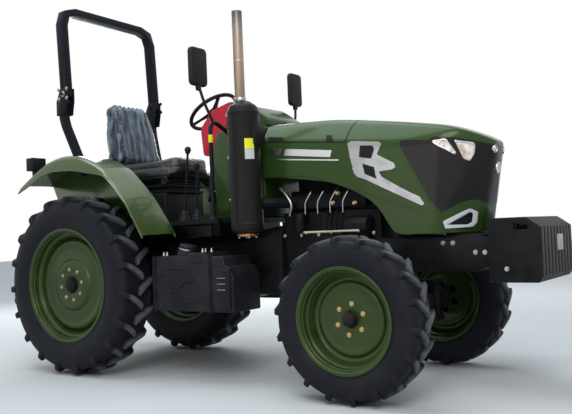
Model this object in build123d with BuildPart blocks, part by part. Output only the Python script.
"""An open-station farm tractor with four driven wheels, a folding roll hoop and a rear linkage.

Millimetres. +X is forward, +Y is the tractor's left and +Z is up. The origin is on the ground,
under the middle of the tractor's length and width. Each sub-part is one STEP file in parts/.
Round bars and wheels are drawn with flats, so that the whole tractor stays light.
"""

import math
import os

from build123d import *

os.makedirs("parts", exist_ok=True)

# ---------------------------------------------------------------- driving dimensions
wheelbase = 2110.0
rear_axle_x = -1020.0
front_axle_x = rear_axle_x + wheelbase
side_signs = {"right": -1, "left": 1}

rear_tyre_radius = 595.0
rear_tyre_width = 284.0
rear_rim_radius = 355.6
rear_track_half = 560.0

front_tyre_radius = 428.0
front_tyre_width = 211.0
front_rim_radius = 254.0
front_track_half = 603.0

rear_axle_z = rear_tyre_radius
front_axle_z = front_tyre_radius
running_clearance = 0.08

kingpin_y = 460.0
kingpin_radius = 18.0
steering_arm_length = 170.0
track_rod_z = 300.0

floor_top_z = 980.0
floor_thickness = 25.0
hood_hinge_x = rear_axle_x + 1384
hood_hinge_z = 1568.0
hood_pin_radius = 4.0
fender_inner_y = 405.0
fender_outer_y = 690.0
sheet = 6.0


def ahead(distance):
    """X of a point that far ahead of the rear axle."""
    return rear_axle_x + distance


def write(node_name, part):
    """Labels a finished sub-part and writes its STEP file."""
    part.label = node_name
    export_step(part, f"parts/{node_name}.step")


# ---------------------------------------------------------------- shapes used more than once
def bent_line(points, bend):
    """Straight runs whose corners are replaced by two flats, which start `bend` before the corner."""
    line = [points[0]]
    for before, corner, after in zip(points, points[1:], points[2:]):
        middle = Vector(*corner)
        start = middle + (Vector(*before) - middle).normalized() * bend
        end = middle + (Vector(*after) - middle).normalized() * bend
        line += [tuple(start), tuple((start + middle * 2 + end) / 4), tuple(end)]
    return line + [points[-1]]


def rod(points, radius, bend=0.0, sides=6):
    """A slim bar along straight runs, with bends between them; its section has flats."""
    with BuildPart() as bar:
        with BuildLine() as route:
            Polyline(*(bent_line(points, bend) if bend else points))
        with BuildSketch(Plane(origin=route.line @ 0, z_dir=route.line % 0)):
            RegularPolygon(radius, sides)
        sweep(path=route.wire(), transition=Transition.RIGHT)
    return bar.part


def side_plate(points, y_low, y_high):
    """A plate cut to a straight-sided outline of (x, z) points, between two Y planes."""
    with BuildPart() as plate:
        with BuildSketch(Plane.XZ.offset(-y_high)):
            with BuildLine():
                Polyline(*points, close=True)
            make_face()
        extrude(amount=y_high - y_low)
    return plate.part


def floor_plate(points, z_low, z_high):
    """A plate cut to a straight-sided outline of (x, y) points, between two heights."""
    with BuildPart() as plate:
        with BuildSketch(Plane.XY.offset(z_low)):
            with BuildLine():
                Polyline(*points, close=True)
            make_face()
        extrude(amount=z_high - z_low)
    return plate.part


def block(low, high):
    """A rectangular block between two opposite corners."""
    centre = tuple((a + b) / 2 for a, b in zip(low, high))
    with BuildPart() as solid:
        with Locations(centre):
            Box(*(b - a for a, b in zip(low, high)))
    return solid.part


def offset_line(points, distances):
    """A line whose runs stand off from the given one, to its left, each by its own distance."""
    normals = []
    for (x1, z1), (x2, z2) in zip(points, points[1:]):
        length = math.hypot(x2 - x1, z2 - z1)
        normals.append(((z1 - z2) / length, (x2 - x1) / length))
    moved = [(points[0][0] + normals[0][0] * distances[0], points[0][1] + normals[0][1] * distances[0])]
    for (x, z), (ax, az), (bx, bz), a, b in zip(points[1:], normals, normals[1:], distances, distances[1:]):
        turn = ax * bz - az * bx
        moved.append((x + (a * bz - b * az) / turn, z + (b * ax - a * bx) / turn))
    (x, z), (nx, nz) = points[-1], normals[-1]
    return moved + [(x + nx * distances[-1], z + nz * distances[-1])]


def cross_bar(x, z, radius, y_from, y_to, sides=0):
    """A bar along Y between two Y planes: round, or with flats where sides are given."""
    with BuildPart() as bar:
        with BuildSketch(Plane.XZ.offset(-max(y_from, y_to))):
            with Locations((x, z)):
                if sides:
                    RegularPolygon(radius, sides)
                else:
                    Circle(radius)
        extrude(amount=abs(y_to - y_from))
    return bar.part


def upright(x, y, radius, z_low, z_high, sides):
    """A bar along Z with flats."""
    with BuildPart() as bar:
        with BuildSketch(Plane.XY.offset(z_low)):
            with Locations((x, y)):
                RegularPolygon(radius, sides)
        extrude(amount=z_high - z_low)
    return bar.part


def turned_flats(profile, sides, axle_x, axle_z, middle_y):
    """A wheel-like ring: a (radius, y) profile carried round a ring of equal flats."""
    flat_radius = max(radius for radius, _ in profile)
    corner_radius = flat_radius / math.cos(math.pi / sides)
    corners = [
        (
            corner_radius * math.cos(2 * math.pi * (i + 0.5) / sides),
            corner_radius * math.sin(2 * math.pi * (i + 0.5) / sides),
        )
        for i in range(sides)
    ]
    with BuildPart() as ring:
        with BuildLine(Plane.XZ) as path:
            Polyline((flat_radius, 0), *corners, close=True)
        with BuildSketch(Plane.XY):
            with BuildLine():
                Polyline(*profile, close=True)
            make_face()
        sweep(path=path.wire(), transition=Transition.RIGHT)
    return ring.part.moved(Location((axle_x, middle_y, axle_z)))


# ---------------------------------------------------------------- wheels
# name, X of the axle, Z of the axle, middle plane, tread radius, width, rim radius, flats
wheel_table = [
    ("rear", rear_axle_x, rear_axle_z, rear_track_half,
     rear_tyre_radius, rear_tyre_width, rear_rim_radius, 36),
    ("front", front_axle_x, front_axle_z, front_track_half,
     front_tyre_radius, front_tyre_width, front_rim_radius, 36),
]
rim_lip_height = 19.8
rim_lip_thickness = 6.0
bead_share = {"rear": 0.405, "front": 0.427}
# lugs: height over the carcass, thickness of the bar, length along the tyre, as shares of the tyre's width
lug_height_share = 0.105
lug_bar_share = 0.115
lug_sweep_share = 0.36

# Wheel discs in section, from the well of the rim to the hub: (radius, y from the wheel's middle)
wheel_disc = {
    "rear": [(346, 20), (346, 62), (322, 14), (300, 14), (287, 48),
             (160, 48), (150, 60), (70, 60), (70, 0), (300, 0)],
    "front": [(245, -14), (245, 40), (228, -14), (188, -14), (175, 0), (45, 0), (45, -26), (228, -26)],
}
disc_flats = {"rear": 20, "front": 18}
# hub: radius and outer end of its cap, radius and inner end of its shaft
wheel_hub = {
    "rear": (46, 92, 45, 420 - rear_track_half),
    "front": (38, 48, 34, 490 - front_track_half),
}


def one_lug(tip_radius, width, side):
    """One tread bar at the top of a tyre whose axle is the Y axis: from the middle back to the shoulder."""
    height = lug_height_share * width
    bar = lug_bar_share * width
    sweep_length = lug_sweep_share * width
    reach = 0.435 * width
    top_z = math.sqrt(tip_radius**2 - (sweep_length / 2 + bar / 2) ** 2)
    front_x = sweep_length / 2
    outline = [
        (front_x - bar, side * -0.05 * width), (front_x + bar * 0.2, side * -0.05 * width),
        (-front_x + bar * 0.75, side * reach), (-front_x - bar * 0.5, side * reach),
    ]
    return floor_plate(outline, tip_radius - 2.1 * height, top_z)


for axle, axle_x, axle_z, track_half, tread_radius, width, rim_radius, sides in wheel_table:
    bead_y = bead_share[axle] * width
    carcass_radius = tread_radius - lug_height_share * width
    wall = carcass_radius - rim_radius
    lip_radius = rim_radius + rim_lip_height
    tyre_outer_half = [
        (rim_radius, bead_y),
        (lip_radius, bead_y),
        (rim_radius + 0.60 * wall, 0.50 * width),
        (carcass_radius, 0.44 * width),
    ]
    tyre_profile = tyre_outer_half + [(radius, -y) for radius, y in reversed(tyre_outer_half)]
    with BuildPart() as tyre:
        add(turned_flats(tyre_profile, sides, 0, 0, 0))
        step = 2 * 360 / sides
        lugs = []
        for side, start in ((1, step / 4), (-1, 3 * step / 4)):
            lug = one_lug(tread_radius, width, side)
            lugs += [lug.moved(Rotation(0, start + i * step, 0)) for i in range(sides // 2)]
        add(lugs)
    lip_y = bead_y + rim_lip_thickness
    rim_profile = [
        (lip_radius, lip_y), (lip_radius, bead_y), (rim_radius, bead_y), (rim_radius, -bead_y),
        (lip_radius, -bead_y), (lip_radius, -lip_y), (rim_radius - 10, -lip_y), (rim_radius - 10, lip_y),
    ]
    cap_radius, cap_end, shaft_radius, shaft_end = wheel_hub[axle]
    disc = wheel_disc[axle]
    with BuildPart() as right_wheel:
        add(turned_flats([(radius, -y) for radius, y in rim_profile], sides, 0, 0, 0))
        add(turned_flats([(radius, -y) for radius, y in disc], disc_flats[axle], 0, 0, 0))
        hub_radius, hub_inner = disc[-2]
        hub_face = disc[-3][1]
        add(cross_bar(0, 0, hub_radius + 4, -hub_inner, -hub_face, sides=12))
        add(cross_bar(0, 0, cap_radius, -hub_face, -cap_end, sides=12))
        add(cross_bar(0, 0, shaft_radius, -shaft_end, -hub_inner))
    for side, sign in side_signs.items():
        tyre_here = tyre.part if sign < 0 else tyre.part.rotate(Axis.Z, 180)
        wheel_here = right_wheel.part if sign < 0 else right_wheel.part.rotate(Axis.Z, 180)
        place = Location((axle_x, sign * track_half, axle_z))
        write(f"{axle}_tyre_{side}", tyre_here.moved(place))
        write(f"{axle}_wheel_{side}", wheel_here.moved(place))


# ---------------------------------------------------------------- rear axle and gearbox
housing_half = 170.0
housing_bottom_z = 400.0
housing_top_z = 930.0
housing_front_x = ahead(350)
housing_rear_x = ahead(-280)
trumpet_radius = 80.0
trumpet_end_y = 470.0
post_pad_z = 680.0
lift_shaft_x = ahead(-100)
lift_shaft_z = 880.0
lift_shaft_radius = 25.0
link_pivot_x = ahead(-50)
link_pivot_z = 450.0
link_pivot_y = 270.0
link_pin_radius = 11.0

with BuildPart() as rear_axle_housing:
    side_outline = [
        (housing_front_x, 440), (ahead(200), housing_bottom_z), (ahead(-200), housing_bottom_z),
        (housing_rear_x, 470), (housing_rear_x, 840), (ahead(-200), housing_top_z),
        (ahead(220), housing_top_z), (housing_front_x, 880),
    ]
    add(side_plate(side_outline, -housing_half, housing_half))
    for sign in side_signs.values():
        add(cross_bar(rear_axle_x, rear_axle_z, trumpet_radius, sign * (housing_half - 10),
                      sign * trumpet_end_y, sides=12))
        add(cross_bar(rear_axle_x, rear_axle_z, trumpet_radius + 45, sign * (housing_half - 10),
                      sign * (housing_half + 40), sides=12))
        pad_y = sorted((sign * 345, sign * 400))
        add(block((ahead(-75), pad_y[0], rear_axle_z), (ahead(15), pad_y[1], post_pad_z)))
        add(cross_bar(link_pivot_x, link_pivot_z, 40, sign * (housing_half - 10), sign * 235, sides=8))
        add(cross_bar(link_pivot_x, link_pivot_z, link_pin_radius, sign * 230, sign * 305))
        # bearing seat of the wheel shaft
        shaft_bore = wheel_hub["rear"][2] + running_clearance
        add(cross_bar(rear_axle_x, rear_axle_z, shaft_bore, sign * 400, sign * 480), mode=Mode.SUBTRACT)
    add(cross_bar(lift_shaft_x, lift_shaft_z, 45, -230, 230, sides=10))
    add(cross_bar(lift_shaft_x, lift_shaft_z, lift_shaft_radius + running_clearance, -240, 240),
        mode=Mode.SUBTRACT)
write("rear_axle_housing", rear_axle_housing.part)

engine_rear_x = ahead(1420)
bell_rear_x = ahead(1200)
# X, half width, bottom and top of each station, from the rear
gearbox_stations = [
    (housing_front_x, 150, 450, 870),
    (ahead(1080), 140, 470, 880),
    (bell_rear_x, 195, 500, 900),
    (engine_rear_x, 205, 500, 930),
]
with BuildPart() as gearbox_housing:
    for x, half, bottom, top in gearbox_stations:
        with BuildSketch(Plane.YZ.offset(x)):
            with BuildLine():
                Polyline(
                    (half, bottom + 50), (half, top - 50), (half - 50, top),
                    (50 - half, top), (-half, top - 50),
                    (-half, bottom + 50), (50 - half, bottom), (half - 50, bottom), close=True)
            make_face()
    loft(ruled=True)
write("gearbox_housing", gearbox_housing.part)

# ---------------------------------------------------------------- engine
engine_front_x = ahead(2080)
block_half = 165.0
block_top_z = 1000.0
with BuildPart() as engine_block:
    add(side_plate(
        [(engine_rear_x, 620), (ahead(1520), 560), (ahead(1900), 560), (ahead(1960), 640),
         (engine_front_x, 640), (engine_front_x, block_top_z), (engine_rear_x, block_top_z)],
        -block_half, block_half))
write("engine_block", engine_block.part)

head_top_z = 1130.0
head_half = 120.0
with BuildPart() as cylinder_head:
    add(block((ahead(1450), -head_half, block_top_z), (ahead(2040), head_half, head_top_z)))
    add(block((ahead(1480), -80, head_top_z - 1), (ahead(2010), 80, 1220)))
write("cylinder_head", cylinder_head.part)

# ---------------------------------------------------------------- front frame, radiator, weights
bolster_half = 195.0
bolster_top_z = 830.0
bolster_bottom_z = 640.0
bolster_front_x = ahead(2730)
with BuildPart() as front_bolster:
    add(side_plate(
        [(engine_front_x, bolster_bottom_z + 20), (ahead(2200), bolster_bottom_z),
         (ahead(2640), bolster_bottom_z), (bolster_front_x, 680), (bolster_front_x, 800),
         (ahead(2660), bolster_top_z), (engine_front_x, bolster_top_z)],
        -bolster_half, bolster_half))
    add(block((ahead(2080), -60, 500), (ahead(2190), 60, bolster_bottom_z + 20)))
write("front_bolster", front_bolster.part)

radiator_half = 225.0
shroud_rear_x = ahead(2150)
with BuildPart() as radiator:
    add(block((ahead(2210), -radiator_half, bolster_top_z), (ahead(2290), radiator_half, 1290)))
    add(rod([(shroud_rear_x, 0, 1060), (ahead(2211), 0, 1060)], 205, sides=16))
write("radiator", radiator.part)

weight_count = 10
weight_pitch = 60.0
weight_front_x = ahead(2995)
with BuildPart() as front_weights:
    for i in range(weight_count):
        y = (i - (weight_count - 1) / 2) * weight_pitch
        add(side_plate(
            [(bolster_front_x, 590), (weight_front_x - 20, 590), (weight_front_x, 620),
             (weight_front_x, 860), (weight_front_x - 70, 910), (bolster_front_x, 910)],
            y - weight_pitch / 2 + 4, y + weight_pitch / 2 - 4))
    add(block((bolster_front_x, -290, 640), (weight_front_x - 60, 290, 860)))
    # hand holds through the upper corner of the plates
    add(side_plate(
        [(weight_front_x - 130, 850), (weight_front_x - 60, 850), (weight_front_x - 60, 868),
         (weight_front_x - 130, 880)], -310, 310), mode=Mode.SUBTRACT)
write("front_weights", front_weights.part)

# ---------------------------------------------------------------- front axle and steering
beam_radius = 52.0
yoke_in = kingpin_y - 85
ear_half = 100.0
ear_thickness = 28.0
with BuildPart() as front_axle:
    add(cross_bar(front_axle_x, front_axle_z, beam_radius, -yoke_in, yoke_in, sides=8))
    add(cross_bar(front_axle_x, front_axle_z, 105, -60, 60, sides=12))
    add(cross_bar(front_axle_x, front_axle_z, 75, -110, 110, sides=12))
    add(rod([(front_axle_x - 20, 0, front_axle_z), (front_axle_x - 150, 0, front_axle_z)], 50, sides=8))
    for sign in side_signs.values():
        web = sorted((sign * (yoke_in - 25), sign * yoke_in))
        ears = sorted((sign * (yoke_in - 25), sign * (kingpin_y + 35)))
        add(block((front_axle_x - 45, web[0], front_axle_z - ear_half - ear_thickness),
                  (front_axle_x + 45, web[1], front_axle_z + ear_half + ear_thickness)))
        for low in (front_axle_z - ear_half - ear_thickness, front_axle_z + ear_half):
            add(block((front_axle_x - 45, ears[0], low), (front_axle_x + 45, ears[1], low + ear_thickness)))
        with Locations((front_axle_x, sign * kingpin_y, front_axle_z)):
            Cylinder(kingpin_radius + running_clearance, 400, mode=Mode.SUBTRACT)
    add(block((front_axle_x - 60, -58, front_axle_z), (front_axle_x + 60, 58, 500)))
    add(front_bolster.part, mode=Mode.SUBTRACT)
write("front_axle", front_axle.part)

track_rod_x = front_axle_x - steering_arm_length
track_pin_radius = 8.0
for side, sign in side_signs.items():
    with BuildPart() as knuckle:
        add(upright(front_axle_x, sign * kingpin_y, 48, front_axle_z - ear_half + 5,
                    front_axle_z + ear_half - 5, 12))
        with Locations((front_axle_x, sign * kingpin_y, front_axle_z)):
            Cylinder(kingpin_radius, 2 * (ear_half + ear_thickness) - 2)
        boss_end = sign * (front_track_half - 80)
        add(cross_bar(front_axle_x, front_axle_z, 80, sign * (kingpin_y + 20), boss_end, sides=12))
        add(side_plate(
            [(front_axle_x - 20, front_axle_z - 60), (front_axle_x + 10, front_axle_z - 92),
             (front_axle_x - 80, front_axle_z - 92), (track_rod_x + 20, track_rod_z + 18),
             (track_rod_x - 24, track_rod_z + 18), (track_rod_x - 24, track_rod_z + 34),
             (front_axle_x - 140, 352)],
            *sorted((sign * (kingpin_y - 20), sign * (kingpin_y + 20)))))
        with Locations((track_rod_x, sign * kingpin_y, track_rod_z + 4)):
            Cylinder(track_pin_radius, 40)
        bore = wheel_hub["front"][2] + running_clearance
        add(cross_bar(front_axle_x, front_axle_z, bore, sign * (front_track_half - 130), boss_end),
            mode=Mode.SUBTRACT)
    write(f"knuckle_{side}", knuckle.part)

with BuildPart() as track_rod:
    add(rod([(track_rod_x, -kingpin_y + 10, track_rod_z), (track_rod_x, kingpin_y - 10, track_rod_z)], 12))
    for sign in side_signs.values():
        add(upright(track_rod_x, sign * kingpin_y, 20, track_rod_z - 13, track_rod_z + 13, 8))
        with Locations((track_rod_x, sign * kingpin_y, track_rod_z)):
            Cylinder(track_pin_radius + running_clearance, 60, mode=Mode.SUBTRACT)
write("track_rod", track_rod.part)

with BuildPart() as drive_shaft:
    add(rod([(front_axle_x - 150, 0, front_axle_z), (ahead(1200), 0, 540)], 30, sides=8))
    add(gearbox_housing.part, mode=Mode.SUBTRACT)
    add(engine_block.part, mode=Mode.SUBTRACT)
    add(front_axle.part, mode=Mode.SUBTRACT)
write("drive_shaft", drive_shaft.part)

# ---------------------------------------------------------------- exhaust
muffler_x = ahead(1350)
muffler_y = -445.0
muffler_radius = 98.0
muffler_bottom_z = 890.0
muffler_top_z = 1600.0
dome_top_z = 1660.0
with BuildPart() as muffler:
    # height and radius of each station of the can, from its base to the top of its dome
    for (low, low_radius), (high, high_radius) in (
        ((muffler_bottom_z, 82), (muffler_bottom_z + 20, muffler_radius)),
        ((muffler_bottom_z + 20, muffler_radius), (muffler_top_z, muffler_radius)),
        ((muffler_top_z, muffler_radius), (muffler_top_z + 35, 82)),
        ((muffler_top_z + 35, 82), (dome_top_z, 50)),
    ):
        for z, radius in ((low, low_radius), (high, high_radius)):
            with BuildSketch(Plane.XY.offset(z)):
                with Locations((muffler_x, muffler_y)):
                    RegularPolygon(radius, 20)
        loft(ruled=True)
write("muffler", muffler.part)

stack_x = ahead(1325)
stack_y = -435.0
with BuildPart() as exhaust_stack:
    add(upright(stack_x, stack_y, 31, dome_top_z, 2210, 16))
    add(upright(stack_x, stack_y, 36, dome_top_z, dome_top_z + 60, 16))
    add(upright(stack_x, stack_y, 27, 2090, 2211, 16), mode=Mode.SUBTRACT)
write("exhaust_stack", exhaust_stack.part)

with BuildPart() as exhaust_manifold:
    add(block((ahead(1500), -head_half - 70, 1020), (ahead(2000), -head_half, 1100)))
    add(rod([(ahead(1530), -head_half - 40, 1060), (ahead(1450), -300, 1060),
             (muffler_x + 20, muffler_y + 20, 1060)], 32, sides=8))
    add(muffler.part, mode=Mode.SUBTRACT)
    add(cylinder_head.part, mode=Mode.SUBTRACT)
write("exhaust_manifold", exhaust_manifold.part)

# What stands around the engine: X, Y, radius, bottom and top of each upright filter or canister
canisters = [(1650, -205, 42, 600, 740), (1580, -235, 34, 880, 985),
             (1760, 212, 45, 590, 730), (1500, 225, 30, 900, 985)]
# X, Y, Z of one end and of the other, and the radius, of each round unit that lies along the tractor
drums = [
    ((1440, 205, 640), (1640, 205, 640), 45), ((1900, -215, 900), (2040, -215, 900), 62),
    ((2079, 0, 1000), (2148, 0, 1000), 34), ((2079, 0, 1000), (2100, 0, 1000), 72),
]
with BuildPart() as engine_fittings:
    for x, y, radius, low, high in canisters:
        foot = sorted((y, math.copysign(block_half - 5, y)))
        add(upright(ahead(x), y, radius, low, high, 10))
        add(block((ahead(x) - 22, foot[0], high - 30), (ahead(x) + 22, foot[1], high + 12)))
    for (x1, y1, z1), (x2, y2, z2), radius in drums:
        add(rod([(ahead(x1), y1, z1), (ahead(x2), y2, z2)], radius, sides=10))
    # the pump that feeds the injectors, its pipes, the fan and the upper radiator hose
    add(block((ahead(1720), -235, 770), (ahead(1860), -block_half, 880)))
    for x in (1735, 1770, 1805, 1840):
        add(rod([(ahead(x), -215, 878), (ahead(x), -215, 925), (ahead(x), -110, 1120)], 6, sides=4))
    add(block((ahead(1700), block_half - 1, 800), (ahead(1960), 225, 930)))
    for i in range(6):
        with Locations(Location((ahead(2128), 0, 1000), (i * 60, 0, 0))):
            with Locations((0, 0, 85)):
                Box(12, 46, 130)
    add(rod([(ahead(2000), 0, 1175), (ahead(2080), 0, 1195), (ahead(2220), 0, 1195)], 24))
    for neighbour in (engine_block, cylinder_head, exhaust_manifold, radiator, gearbox_housing):
        add(neighbour.part, mode=Mode.SUBTRACT)
write("engine_fittings", engine_fittings.part)

# ---------------------------------------------------------------- floor, tank and battery box
with BuildPart() as platform:
    with BuildSketch(Plane.XY.offset(floor_top_z - floor_thickness)):
        with BuildLine():
            Polyline(
                (ahead(-80), -345), (ahead(60), -345), (ahead(60), -400), (ahead(780), -400),
                (ahead(780), -480), (ahead(1150), -480), (ahead(1150), -420), (ahead(1240), -330),
                (ahead(1240), 330), (ahead(1150), 420), (ahead(1150), 480), (ahead(780), 480),
                (ahead(780), 400), (ahead(60), 400), (ahead(60), 345), (ahead(-80), 345), close=True)
        make_face()
    extrude(amount=floor_thickness)
    for x in (ahead(0), ahead(480), ahead(1010)):
        top_of_case = housing_top_z if x < housing_front_x else 878
        add(block((x - 35, -330, top_of_case), (x + 35, 330, floor_top_z - floor_thickness)))
    # the step on the entry side: two hangers and two treads
    for x in (ahead(800), ahead(992)):
        with BuildSketch(Plane.YZ.offset(x)):
            with BuildLine():
                Polyline((430, 956), (478, 956), (602, 800), (602, 470),
                         (582, 470), (582, 790), (440, 925), close=True)
            make_face()
        extrude(amount=8)
    for z in (470, 690):
        add(block((ahead(800), 600, z), (ahead(1000), 700, z + 14)))
    add(gearbox_housing.part, mode=Mode.SUBTRACT)
write("platform", platform.part)

tank_x = (ahead(680), ahead(1330))
tank_y = (-575.0, -310.0)
tank_z = (430.0, 770.0)
with BuildPart() as fuel_tank:
    add(side_plate(
        [(tank_x[0], 450), (ahead(720), tank_z[0]), (tank_x[1], tank_z[0]),
         (tank_x[1], 640), (ahead(1300), 700),
         (ahead(1264), 702), (ahead(1254), 761), (ahead(1124), 765), (ahead(1121), 786), (ahead(985), 786),
         (ahead(980), tank_z[1]), (tank_x[0], tank_z[1])], *tank_y))
    add(upright(ahead(915), -505, 58, tank_z[1], 812, 12))
    add(upright(ahead(915), -505, 50, tank_z[1], 840, 12))
    # a raised panel and two ribs moulded in the outer side
    add(block((ahead(1190), tank_y[0] - 12, 450), (ahead(1310), tank_y[0] + 1, 690)))
    for x in (ahead(740), ahead(960)):
        add(block((x, tank_y[0] - 8, 470), (x + 150, tank_y[0] + 1, 730)))
    for x in (ahead(800), ahead(1060)):
        add(block((x - 25, tank_y[1] - 1, 560), (x + 25, -135, 600)))
    add(gearbox_housing.part, mode=Mode.SUBTRACT)
write("fuel_tank", fuel_tank.part)

with BuildPart() as battery_box:
    add(side_plate(
        [(ahead(760), tank_z[0] + 20), (ahead(800), tank_z[0]), (ahead(1250), tank_z[0]),
         (ahead(1250), 720), (ahead(760), 720)], -tank_y[1], -tank_y[0]))
    for x in (ahead(850), ahead(1060)):
        add(block((x - 25, 135, 560), (x + 25, -tank_y[1] + 1, 600)))
    add(gearbox_housing.part, mode=Mode.SUBTRACT)
write("battery_box", battery_box.part)

# ---------------------------------------------------------------- roll hoop
hoop_x = ahead(-220)
hinge_z = 1927.0
hoop_y = 437.0
hoop_top_z = 2575.0
hoop_lean = 34.0
tube_deep = 70.0
tube_wide = 50.0
hinge_pin_radius = 11.0

# middle of the post at each height: X, |Y|, Z
post_line = [
    (ahead(-30), 372, post_pad_z), (ahead(-30), 372, 1160), (ahead(-48), 375, 1240), (ahead(-150), 395, 1450),
    (ahead(-178), 404, 1525), (ahead(-238), 431, 1700),
    (ahead(-250), hoop_y, 1760), (ahead(-250), hoop_y, hinge_z - 62),
]
with BuildPart() as rops_posts:
    for sign in side_signs.values():
        for x, y, z in post_line:
            with BuildSketch(Plane.XY.offset(z)):
                with Locations((x, sign * y)):
                    Rectangle(tube_deep - 10, tube_wide - 6)
        loft(ruled=True)
        for inner in (sign * hoop_y - tube_wide / 2 - 11, sign * hoop_y + tube_wide / 2 + 2):
            add(side_plate(
                [(ahead(-290), hinge_z - 150), (ahead(-200), hinge_z - 150), (ahead(-180), hinge_z - 50),
                 (ahead(-180), hinge_z + 40), (ahead(-245), hinge_z + 40), (ahead(-290), hinge_z - 50)],
                inner, inner + 9))
        add(cross_bar(hoop_x, hinge_z, hinge_pin_radius, sign * hoop_y - 52, sign * hoop_y + 52))
        add(block((ahead(-275), sign * hoop_y - 28, hinge_z - 140),
                  (ahead(-225), sign * hoop_y + 28, hinge_z - 60)))
write("rops_posts", rops_posts.part)

leg_length = math.hypot(hoop_lean, hoop_top_z - tube_deep / 2 - hinge_z)
hoop_plane = Plane(origin=(hoop_x, 0, hinge_z), x_dir=(0, 1, 0),
                   z_dir=(hoop_top_z - tube_deep / 2 - hinge_z, 0, hoop_lean))
with BuildPart() as rops_hoop:
    middle_line = [
        (y, z) for y, z, _ in bent_line(
            [(-hoop_y, 0, 0), (-hoop_y, leg_length, 0), (hoop_y, leg_length, 0), (hoop_y, 0, 0)], 110)
    ]
    outside = offset_line(middle_line, [tube_wide / 2] * (len(middle_line) - 1))
    inside = offset_line(middle_line, [-tube_wide / 2] * (len(middle_line) - 1))
    with BuildSketch(hoop_plane):
        with BuildLine():
            Polyline(*outside, *reversed(inside), close=True)
        make_face()
    extrude(amount=tube_deep / 2, both=True)
    for sign in side_signs.values():
        add(cross_bar(hoop_x, hinge_z, tube_deep / 2, sign * hoop_y - tube_wide / 2,
                      sign * hoop_y + tube_wide / 2, sides=16))
        add(cross_bar(hoop_x, hinge_z, hinge_pin_radius + running_clearance,
                      sign * hoop_y - 60, sign * hoop_y + 60),
            mode=Mode.SUBTRACT)
write("rops_hoop", rops_hoop.part)

# ---------------------------------------------------------------- fenders
# The crest of the fender's inner edge, from its rear tip over the wheel to its front end, and how far the
# outer edge stands off from each run of it.
fender_crest = [
    (ahead(-440), 1287), (ahead(-334), 1353), (ahead(-190), 1423), (ahead(-51), 1453), (ahead(76), 1451),
    (ahead(190), 1426), (ahead(334), 1358), (ahead(440), 1270), (ahead(555), 1155), (ahead(740), 905),
]
fender_flare = [0, 0, 0, 0, 0, 8, 18, 26, 30]
fender_lip_foot = [
    (ahead(740), 880), (ahead(597), 1110), (ahead(434), 1270), (ahead(239), 1321), (ahead(55), 1352),
    (ahead(-161), 1346), (ahead(-373), 1265), (ahead(-470), 1230),
]
fender_parts = []
with BuildPart() as right_fender:
    outer_crest = offset_line(fender_crest, fender_flare)
    lip_top = offset_line(outer_crest, [-24] * len(fender_flare))
    for (near_y, near_line), (far_y, far_line) in (
        ((-fender_inner_y, fender_crest), (45 - fender_outer_y, outer_crest)),
        ((45 - fender_outer_y, outer_crest), (-fender_outer_y, lip_top)),
    ):
        for y, line in ((near_y, near_line), (far_y, far_line)):
            underside = offset_line(line, [-sheet] * len(fender_flare))
            with BuildSketch(Plane.XZ.offset(-y)):
                with BuildLine():
                    Polyline(*line, *reversed(underside), close=True)
                make_face()
        loft(ruled=True)
    lip_start = offset_line(lip_top, [-1] * len(fender_flare))
    add(side_plate([*lip_start, *fender_lip_foot], -fender_outer_y, sheet - fender_outer_y))
    add(side_plate(
        [(ahead(-300), 1345), (ahead(-190), 1419), (ahead(-51), 1449), (ahead(76), 1447), (ahead(190), 1422),
         (ahead(332), 1354), (ahead(437), 1267), (ahead(552), 1152), (ahead(700), 950),
         (ahead(700), floor_top_z - 60), (ahead(-180), floor_top_z - 60)],
        -fender_inner_y - sheet, -fender_inner_y))
for side, sign in side_signs.items():
    with BuildPart() as fender:
        add(right_fender.part if sign < 0 else mirror(right_fender.part, about=Plane.XZ))
        add(rops_posts.part, mode=Mode.SUBTRACT)
    fender_parts.append(fender.part)
    write(f"fender_{side}", fender.part)

with BuildPart() as tail_lamps:
    for sign in side_signs.values():
        across = sorted((sign * 545, sign * 655))
        add(side_plate([(ahead(-392), 1300), (ahead(-345), 1330), (ahead(-345), 1390), (ahead(-392), 1390)],
                       across[0] + 35, across[1] - 35))
        add(side_plate([(ahead(-408), 1385), (ahead(-332), 1385),
                        (ahead(-332), 1475), (ahead(-408), 1475)], *across))
    for fender_part in fender_parts:
        add(fender_part, mode=Mode.SUBTRACT)
    for sign in side_signs.values():
        add(side_plate([(ahead(-440), 1200), (ahead(-334), 1200), (ahead(-190), 1400), (ahead(-334), 1350),
                        (ahead(-440), 1284)], -700, 700), mode=Mode.SUBTRACT)
write("tail_lamps", tail_lamps.part)

# ---------------------------------------------------------------- seat
with BuildPart() as seat_base:
    add(block((ahead(120), -215, floor_top_z), (ahead(600), 215, 1190)))
    # the bellows under the pan
    for i in range(4):
        half = 165 if i % 2 else 185
        add(block((ahead(360) - half - 10, -half, 1189 + i * 25),
                  (ahead(360) + half + 10, half, 1215 + i * 25)))
write("seat_base", seat_base.part)

with BuildPart() as seat_cushion:
    add(side_plate(
        [(ahead(20), 1291), (ahead(600), 1291), (ahead(638), 1335), (ahead(632), 1425), (ahead(600), 1440),
         (ahead(400), 1412), (ahead(90), 1410), (ahead(20), 1400)], -245, 245))
write("seat_cushion", seat_cushion.part)

with BuildPart() as seat_back:
    add(side_plate(
        [(ahead(18), 1330), (ahead(18), 1401), (ahead(70), 1412), (ahead(40), 1600), (ahead(-30), 1880),
         (ahead(-70), 1905), (ahead(-130), 1880), (ahead(-90), 1450), (ahead(-40), 1330)], -225, 225))
write("seat_back", seat_back.part)

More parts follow.
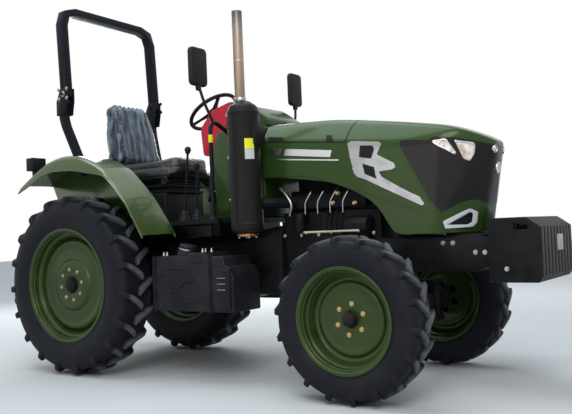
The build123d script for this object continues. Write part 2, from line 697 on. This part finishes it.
# ---------------------------------------------------------------- dash, steering wheel and pedals
with BuildPart() as dash_console:
    add(side_plate(
        [(ahead(980), floor_top_z), (ahead(1235), floor_top_z), (ahead(1360), 1080), (ahead(1360), 1540),
         (ahead(1000), 1540), (ahead(950), 1400)], -270, 270))
write("dash_console", dash_console.part)

with BuildPart() as instrument_cowl:
    add(side_plate(
        [(ahead(950), 1400.0), (ahead(1000), 1540), (ahead(1360), 1540),
         (ahead(1360), 1600), (ahead(1200), 1700),
         (ahead(1060), 1740), (ahead(900), 1700), (ahead(800), 1590), (ahead(820), 1400)], -200, 200))
    # the hood's hinge: a pin between two lugs
    add(cross_bar(hood_hinge_x, hood_hinge_z, hood_pin_radius, -64, 64))
    for lug_y in (-64, 52):
        add(side_plate(
            [(ahead(1340), hood_hinge_z - 5), (hood_hinge_x, hood_hinge_z - 5),
             (hood_hinge_x + 5, hood_hinge_z),
             (hood_hinge_x, hood_hinge_z + 5), (ahead(1340), hood_hinge_z + 5)], lug_y, lug_y + 12))
write("instrument_cowl", instrument_cowl.part)

steering_wheel_x = ahead(760)
steering_wheel_z = 1725.0
steering_wheel_radius = 185.0
grip_radius = 14.0
column_tilt = 35.0
column_axis = (-math.sin(math.radians(column_tilt)), 0, math.cos(math.radians(column_tilt)))
wheel_plane = Plane(origin=(steering_wheel_x, 0, steering_wheel_z), x_dir=(0, 1, 0), z_dir=column_axis)
with BuildPart() as steering_wheel:
    with BuildSketch(wheel_plane):
        RegularPolygon(steering_wheel_radius, 20)
        RegularPolygon(steering_wheel_radius - 2 * grip_radius, 20, mode=Mode.SUBTRACT)
    extrude(amount=grip_radius - 3, both=True)
    with BuildSketch(wheel_plane):
        RegularPolygon(45, 10)
        with PolarLocations(88, 3):
            Rectangle(156, 22)
    extrude(amount=6, both=True)
    with BuildSketch(wheel_plane.offset(-6)):
        Circle(18)
    extrude(amount=-60)
write("steering_wheel", steering_wheel.part)

with BuildPart() as steering_column:
    top = Vector(steering_wheel_x, 0, steering_wheel_z) - Vector(*column_axis) * 72
    low = Vector(steering_wheel_x, 0, steering_wheel_z) - Vector(*column_axis) * 260
    add(rod([tuple(low), tuple(top)], 32, sides=12))
    add(instrument_cowl.part, mode=Mode.SUBTRACT)
write("steering_column", steering_column.part)

# Y of the middle and width of each pad: two brakes on the right and the clutch on the left
pedal_table = [(-190, 62), (-118, 62), (165, 80)]
with BuildPart() as pedals:
    for y, width in pedal_table:
        add(side_plate([(ahead(862), 1105), (ahead(872), 1100), (ahead(902), 1168), (ahead(892), 1173)],
                       y - width / 2, y + width / 2))
        add(side_plate([(ahead(884), 1128), (ahead(1010), 1185),
                        (ahead(1010), 1205), (ahead(892), 1148)], y - 7, y + 7))
    add(dash_console.part, mode=Mode.SUBTRACT)
write("pedals", pedals.part)

# ---------------------------------------------------------------- hood
hood_bottom_z = 845.0
hood_wall = 9.0
hood_cut_z = hood_bottom_z - 20
# how far each face of a section leans: the side, the shoulder and the top
side_lean = 0.012
shoulder_fall = 1.5
top_fall = 0.098
# X of each section, half its width at the bottom, height of its shoulder, half the width of its top
hood_sections = [
    (ahead(1380), 315, 1420, 228),
    (ahead(1820), 315, 1385, 214),
    (ahead(2270), 300, 1320, 200),
    (ahead(2525), 280, 1262, 175),
    (ahead(2760), 262, 1165, 150),
]
# Flat faces of the nose: forward and sideways parts of the normal, distance from the rear axle at the
# level below, and how much that grows per millimetre of height.
nose_level = 1300.0
nose_faces = [
    (0.196, 0.981, 733.5, -9.6 / 455),
    (0.551, 0.835, 1590.9, 14 / 455),
    (0.766, 0.643, 2134.0, 49 / 455),
    (1.0, 0.0, 2728.0, 88 / 455),
]


def hood_section(bottom_half, shoulder_z, top_half, out):
    """The section's outline, with every face moved out by the same distance."""
    shoulder_half = bottom_half - side_lean * (shoulder_z - hood_bottom_z)
    side_line = bottom_half + side_lean * hood_bottom_z + out
    shoulder_line = shoulder_z + shoulder_fall * shoulder_half + out * math.hypot(1, shoulder_fall)
    corner_z = shoulder_z + shoulder_fall * (shoulder_half - top_half)
    top_line = corner_z + top_fall * top_half + out * math.hypot(1, top_fall)
    low_z = (shoulder_line - shoulder_fall * side_line) / (1 - shoulder_fall * side_lean)
    top_y = (shoulder_line - top_line) / (shoulder_fall - top_fall)
    half = [(side_line - side_lean * hood_cut_z, hood_cut_z), (side_line - side_lean * low_z, low_z),
            (top_y, top_line - top_fall * top_y)]
    return [*half, (0, top_line), *[(-y, z) for y, z in reversed(half)]]


def hood_skin(out):
    """The hood's closed form from its rear edge to its nose, grown by `out` on its sides, top and nose."""
    with BuildPart() as skin:
        for x, bottom_half, shoulder_z, top_half in hood_sections:
            with BuildSketch(Plane.YZ.offset(x)):
                with BuildLine():
                    Polyline(*hood_section(bottom_half, shoulder_z, top_half, out), close=True)
                make_face()
        loft(ruled=True)
        cuts = []
        for forward, sideways, distance, growth in nose_faces:
            length = math.sqrt(forward**2 + sideways**2 + growth**2)
            for sign in ((1, -1) if sideways else (1,)):
                normal = (forward / length, sign * sideways / length, -growth / length)
                level = distance / (forward**2 + sideways**2)
                cuts.append(((ahead(level * forward), sign * level * sideways, nose_level), normal))
        cuts.append(((ahead(2660), 0, 1362), (0.494, 0, 0.869)))
        for (x, y, z), normal in cuts:
            face_plane = Plane(origin=(x, y, z), z_dir=normal).offset(out)
            split(bisect_by=face_plane, keep=Keep.BOTTOM)
    return skin.part


# The hood's lower edge, seen from the side: it rises from the nose to show the engine.
hood_cut = side_plate(
    [(ahead(1300), 700), (ahead(1300), 1215), (ahead(1390), 1215), (ahead(1840), 1158), (ahead(2090), 1041),
     (ahead(2170), 938), (ahead(2235), hood_bottom_z), (ahead(2800), hood_bottom_z), (ahead(2800), 700)],
    -400, 400)
# The dark panel that wraps the nose, and the lamps let into it.
grille_outline = side_plate(
    [(ahead(2268), 1335), (ahead(2280), 1353), (ahead(2425), 1338), (ahead(2451), 1355), (ahead(2553), 1342),
     (ahead(2664), 1314), (ahead(2800), 1275), (ahead(2800), 975), (ahead(2671), 989), (ahead(2640), 1010),
     (ahead(2604), 1015), (ahead(2560), 998), (ahead(2474), 950), (ahead(2422), 1020)], -400, 400)
lamp_outlines = [
    [(ahead(2446), 1335), (ahead(2452), 1320), (ahead(2555), 1252), (ahead(2562), 1262), (ahead(2533), 1313),
     (ahead(2515), 1337)],
    [(ahead(2556), 1328), (ahead(2591), 1228), (ahead(2618), 1215), (ahead(2638), 1250), (ahead(2645), 1293),
     (ahead(2640), 1312)],
]
lamp_prisms = [
    side_plate(outline, *sorted((sign * 95, sign * 400)))
    for outline in lamp_outlines for sign in side_signs.values()
]

outer_skin = hood_skin(0)
inner_skin = hood_skin(-hood_wall)
with BuildPart() as hood_shell:
    add(outer_skin)
    add(inner_skin, mode=Mode.SUBTRACT)
    add(block((ahead(1300), -400, 800), (ahead(1380) + hood_wall, 400, 1520)), mode=Mode.SUBTRACT)
    add(hood_cut, mode=Mode.SUBTRACT)
    add(grille_outline, mode=Mode.SUBTRACT)
    add(cross_bar(hood_hinge_x, hood_hinge_z, 10, -50, 50, sides=10))
    add(cross_bar(hood_hinge_x, hood_hinge_z, hood_pin_radius + running_clearance, -60, 60),
        mode=Mode.SUBTRACT)
write("hood_shell", hood_shell.part)

with BuildPart() as grille:
    add(outer_skin)
    add(inner_skin, mode=Mode.SUBTRACT)
    add(grille_outline, mode=Mode.INTERSECT)
    for prism in lamp_prisms:
        add(prism, mode=Mode.SUBTRACT)
write("grille", grille.part)

with BuildPart() as headlamps:
    for prism in lamp_prisms:
        add(prism)
    add(hood_skin(3), mode=Mode.INTERSECT)
    add(inner_skin, mode=Mode.SUBTRACT)
write("headlamps", headlamps.part)

# Bright strips on the hood's sides, a frame around the lower vent, seen from the side
trim_frame = [
    (ahead(1963), 1366), (ahead(1987), 1376), (ahead(2151), 1356), (ahead(2169), 1342), (ahead(2141), 1287),
    (ahead(2237), 1233), (ahead(2246), 1209), (ahead(2226), 1198), (ahead(2158), 1191), (ahead(2163), 1163),
    (ahead(2271), 1096), (ahead(2373), 1041), (ahead(2395), 1006), (ahead(2383), 993), (ahead(2253), 1060),
    (ahead(2069), 1154), (ahead(2017), 1174), (ahead(2001), 1191), (ahead(1982), 1266),
]
trim_windows = [
    [(ahead(2041), 1345), (ahead(2117), 1338), (ahead(2127), 1316), (ahead(2106), 1266), (ahead(2033), 1281)],
    [(ahead(2052), 1244), (ahead(2121), 1219), (ahead(2135), 1152), (ahead(2064), 1186)],
]
vent_outer = [(ahead(2484), 905), (ahead(2602), 968), (ahead(2631), 948),
              (ahead(2622), 890), (ahead(2606), 871),
              (ahead(2494), 867)]
vent_inner = [(ahead(2499), 884), (ahead(2600), 951), (ahead(2612), 940),
              (ahead(2606), 897), (ahead(2596), 884)]
with BuildPart() as hood_trim:
    add(side_plate(trim_frame, -400, 400))
    for window in trim_windows:
        add(side_plate(window, -401, 401), mode=Mode.SUBTRACT)
    add(side_plate(vent_outer, -400, 400))
    add(side_plate(vent_inner, -401, 401), mode=Mode.SUBTRACT)
    add(hood_skin(4), mode=Mode.INTERSECT)
    add(outer_skin, mode=Mode.SUBTRACT)
    add(block((ahead(1900), -80, 800), (ahead(2800), 80, 1500)), mode=Mode.SUBTRACT)
write("hood_trim", hood_trim.part)

# ---------------------------------------------------------------- rear linkage
link_end_x = ahead(-940)
link_end_y = 360.0
link_bore_radius = 11.2
arm_length = 360.0
arm_end_x = lift_shaft_x - arm_length
arm_end_z = lift_shaft_z
rod_foot_x = link_pivot_x - arm_length
rod_foot_z = link_pivot_z
arm_y = (285.0, 310.0)
rod_y = 340.0
lift_pin_radius = 10.0

with BuildPart() as lower_links:
    for sign in side_signs.values():
        with BuildSketch(Plane.XY.offset(link_pivot_z - 32)):
            with BuildLine():
                Polyline((link_pivot_x, sign * (link_pivot_y - 12)), (link_end_x, sign * (link_end_y - 12)),
                         (link_end_x, sign * (link_end_y + 12)), (link_pivot_x, sign * (link_pivot_y + 12)),
                         close=True)
            make_face()
        extrude(amount=64)
        for x, y, radius, half, bore in (
            (link_pivot_x, link_pivot_y, 34, 18, link_pin_radius + running_clearance),
            (link_end_x, link_end_y, 34, 17.5, link_bore_radius),
        ):
            add(cross_bar(x, link_pivot_z, radius, sign * (y - half), sign * (y + half), sides=10))
            add(cross_bar(x, link_pivot_z, bore, sign * (y - 60), sign * (y + 60)), mode=Mode.SUBTRACT)
        add(cross_bar(rod_foot_x, rod_foot_z, lift_pin_radius * 1.1, sign * 240, sign * 400, sides=8),
            mode=Mode.SUBTRACT)
write("lower_links", lower_links.part)

with BuildPart() as lift_arms:
    add(cross_bar(lift_shaft_x, lift_shaft_z, lift_shaft_radius, -arm_y[0] - 5, arm_y[0] + 5))
    for sign in side_signs.values():
        span = sorted((sign * arm_y[0], sign * arm_y[1]))
        add(cross_bar(lift_shaft_x, lift_shaft_z, 45, sign * 236, sign * arm_y[1], sides=8))
        add(side_plate(
            [(lift_shaft_x, lift_shaft_z + 42), (lift_shaft_x, lift_shaft_z - 42),
             (arm_end_x - 8, arm_end_z - 28), (arm_end_x - 28, arm_end_z),
             (arm_end_x - 8, arm_end_z + 28)], *span))
        add(cross_bar(arm_end_x, arm_end_z, lift_pin_radius + running_clearance, sign * 240, sign * 400),
            mode=Mode.SUBTRACT)
write("lift_arms", lift_arms.part)

with BuildPart() as lift_rods:
    for sign in side_signs.values():
        add(rod([(arm_end_x, sign * rod_y, arm_end_z), (rod_foot_x, sign * rod_y, rod_foot_z)], 13))
        for x, z, inner, flats in ((arm_end_x, arm_end_z, 275, 0), (rod_foot_x, rod_foot_z, 285, 8)):
            add(cross_bar(x, z, 26, sign * (rod_y - 12), sign * (rod_y + 12), sides=8))
            add(cross_bar(x, z, lift_pin_radius, sign * inner, sign * (rod_y + 20), sides=flats))
write("lift_rods", lift_rods.part)

with BuildPart() as top_link:
    link_front = (housing_rear_x - 40, 0, 790)
    link_rear = (ahead(-860), 0, 900)
    add(rod([link_front, link_rear], 16))
    for (x, y, z), half in ((link_front, 20), (link_rear, 22)):
        add(cross_bar(x, z, 30, -half, half, sides=10))
    add(cross_bar(link_rear[0], link_rear[2], 9.65, -60, 60), mode=Mode.SUBTRACT)
    add(block((housing_rear_x - 60, -40, 750), (housing_rear_x, -20, 830)))
    add(block((housing_rear_x - 60, 20, 750), (housing_rear_x, 40, 830)))
write("top_link", top_link.part)

with BuildPart() as drawbar:
    add(block((ahead(-760), -42, 345), (ahead(60), 42, 375)))
    add(block((ahead(-190), -75, 374), (ahead(-60), 75, housing_bottom_z)))
    with Locations((ahead(-715), 0, 360)):
        Cylinder(16, 60, mode=Mode.SUBTRACT)
write("drawbar", drawbar.part)

with BuildPart() as pto_shaft:
    add(rod([(housing_rear_x, 0, 560), (housing_rear_x - 95, 0, 560)], 17.4, sides=12))
    # the guard over it
    add(block((housing_rear_x - 115, -105, 622), (housing_rear_x, 105, 630)))
    for y in (-105, 97):
        add(side_plate([(housing_rear_x, 630), (housing_rear_x - 115, 630), (housing_rear_x - 115, 600),
                        (housing_rear_x, 520)], y, y + 8))
write("pto_shaft", pto_shaft.part)

# ---------------------------------------------------------------- handrails, mirrors, levers
rail_x = ahead(1100)
rail_y = 450.0
with BuildPart() as handrails:
    for sign in side_signs.values():
        add(rod([(rail_x, sign * rail_y, floor_top_z), (rail_x, sign * rail_y, 1600),
                 (rail_x + 20, sign * 270, 1500)], 13, bend=50))
    add(dash_console.part, mode=Mode.SUBTRACT)
write("handrails", handrails.part)

mirror_x = ahead(1084)
mirror_half = (77.0, 120.0)
mirror_corner = 34.0
for side, sign in side_signs.items():
    with BuildPart() as mirror:
        wide, high = mirror_half
        with BuildSketch(Plane.YZ.offset(mirror_x - 20)):
            with Locations((sign * 527.5, 1900)):
                Rectangle(2 * wide, 2 * high)
            chamfer(vertices(), mirror_corner)
        extrude(amount=40)
        add(rod([(rail_x, sign * 420, 1570), (rail_x, sign * 500, 1690), (mirror_x, sign * 527, 1790)], 9))
        add(handrails.part, mode=Mode.SUBTRACT)
    write(f"mirror_{side}", mirror.part)

# X and Y of the foot, X of the knob, height of the knob
lever_table = [(720, -290, 770, 1440), (840, -300, 850, 1330), (700, 300, 740, 1400)]
with BuildPart() as control_levers:
    for foot_x, y, knob_x, knob_z in lever_table:
        add(rod([(ahead(foot_x), y, floor_top_z - 10), (ahead(knob_x), y, knob_z)], 8))
        add(rod([(ahead(knob_x), y, knob_z - 22), (ahead(knob_x), y, knob_z + 26)], 22, sides=8))
    add(platform.part, mode=Mode.SUBTRACT)
write("control_levers", control_levers.part)

print("part.py done")
